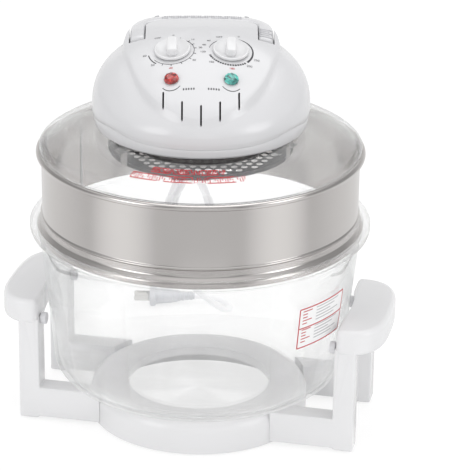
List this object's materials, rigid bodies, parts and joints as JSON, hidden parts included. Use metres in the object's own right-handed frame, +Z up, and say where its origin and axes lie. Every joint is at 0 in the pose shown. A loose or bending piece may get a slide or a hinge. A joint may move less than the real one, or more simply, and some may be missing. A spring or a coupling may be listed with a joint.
{
  "type": "glass air fryer",
  "caption": "Round glass bowl in a white stand with two side grips, steel extender ring, domed glass lid and white heater head with two knobs, fold-down carry handle and power cord.",
  "frame": {"origin": "on the floor, on the bowl's axis", "axes": "+Z up, the control panel faces -Y, +X to the right as seen from the front"},
  "size_m": [0.3908, 0.4422, 0.3999],
  "materials": {
    "white_plastic": "smooth moulded, soft shine",
    "clear_glass": "clear tempered glass",
    "bright_steel": "bright rolled sheet",
    "plain_steel": "plain",
    "dark_steel": "dark sheath",
    "black_plastic": "matt moulded",
    "grey_rubber": "matt soft",
    "cord_white": "soft flexible plastic",
    "tie_black": "matt",
    "red_lens": "clear red, faceted",
    "teal_lens": "clear teal, faceted",
    "ceramic": null
  },
  "bodies": {
    "stand": {"stand_base": "white_plastic", "side_frame_left": "white_plastic", "side_frame_right": "white_plastic", "bowl_bumper_1": "grey_rubber", "bowl_bumper_2": "grey_rubber", "bowl_bumper_3": "grey_rubber", "bowl_bumper_4": "grey_rubber", "foot_pad_1": "grey_rubber", "foot_pad_2": "grey_rubber", "foot_pad_3": "grey_rubber", "foot_pad_4": "grey_rubber"},
    "bowl": {"glass_bowl": "clear_glass"},
    "ring": {"extender_ring": "bright_steel"},
    "head": {"glass_lid": "clear_glass", "lid_gasket": "grey_rubber", "head_skirt": "white_plastic", "head_cover": "white_plastic", "handle_pin_left": "plain_steel", "handle_pin_right": "plain_steel", "timer_unit": "black_plastic", "thermostat_unit": "black_plastic", "power_lamp_lens": "red_lens", "heat_lamp_lens": "teal_lens", "motor_bracket": "bright_steel", "fan_motor": "dark_steel", "heat_shield": "bright_steel", "shield_screw_1": "plain_steel", "shield_screw_2": "plain_steel", "shield_screw_3": "plain_steel", "heating_element": "dark_steel", "element_bush_1": "ceramic", "element_bush_2": "ceramic", "sensor_bulb": "plain_steel", "heater_guard": "bright_steel", "guard_strap_1": "bright_steel", "guard_strap_2": "bright_steel", "guard_strap_3": "bright_steel", "safety_switch": "black_plastic", "terminal_block": "black_plastic", "cord_gland": "cord_white", "power_cord": "cord_white", "cord_hank": "cord_white", "cord_tie": "tie_black", "cord_tail": "cord_white", "plug_body": "cord_white", "plug_blade_1": "plain_steel", "plug_blade_2": "plain_steel"},
    "handle": {"carry_handle": "white_plastic"},
    "plunger": {"switch_plunger": "white_plastic"},
    "timer": {"timer_knob": "white_plastic", "timer_shaft": "plain_steel"},
    "thermostat": {"thermostat_knob": "white_plastic", "thermostat_shaft": "plain_steel"},
    "fans": {"motor_shaft": "plain_steel", "cooling_fan": "black_plastic", "convection_fan": "bright_steel"}
  },
  "joints": [
    {"name": "bowl_lift", "type": "slide", "parent": "stand", "child": "bowl", "axis": [0, 0, 1], "range_m": [0, 0.2]},
    {"name": "ring_lift", "type": "slide", "parent": "bowl", "child": "ring", "axis": [0, 0, 1], "range_m": [0, 0.1]},
    {"name": "head_lift", "type": "slide", "parent": "ring", "child": "head", "axis": [0, 0, 1], "range_m": [0, 0.12]},
    {"name": "handle_fold", "type": "hinge", "parent": "head", "child": "handle", "pos_m": [0, 0.014, 0.384], "axis": [1, 0, 0], "range_deg": [0, 90]},
    {"name": "plunger_slide", "type": "slide", "parent": "head", "child": "plunger", "axis": [0, 0, 1], "range_m": [0, 0.003]},
    {"name": "timer_turn", "type": "hinge", "parent": "head", "child": "timer", "pos_m": [-0.0277, -0.021, 0.38616], "axis": [-0.0733, -0.3028, 0.9502], "range_deg": [-300, 0]},
    {"name": "thermostat_turn", "type": "hinge", "parent": "head", "child": "thermostat", "pos_m": [0.0277, -0.021, 0.38616], "axis": [0.0733, -0.3028, 0.9502], "range_deg": [-270, 0]},
    {"name": "fan_spin", "type": "hinge", "parent": "head", "child": "fans", "pos_m": [0, 0, 0.3], "axis": [0, 0, 1], "continuous": true}
  ],
  "couplings": [
    {"joint": "plunger_slide", "follows": "handle_fold", "m_per_rad": 0.0019}
  ]
}
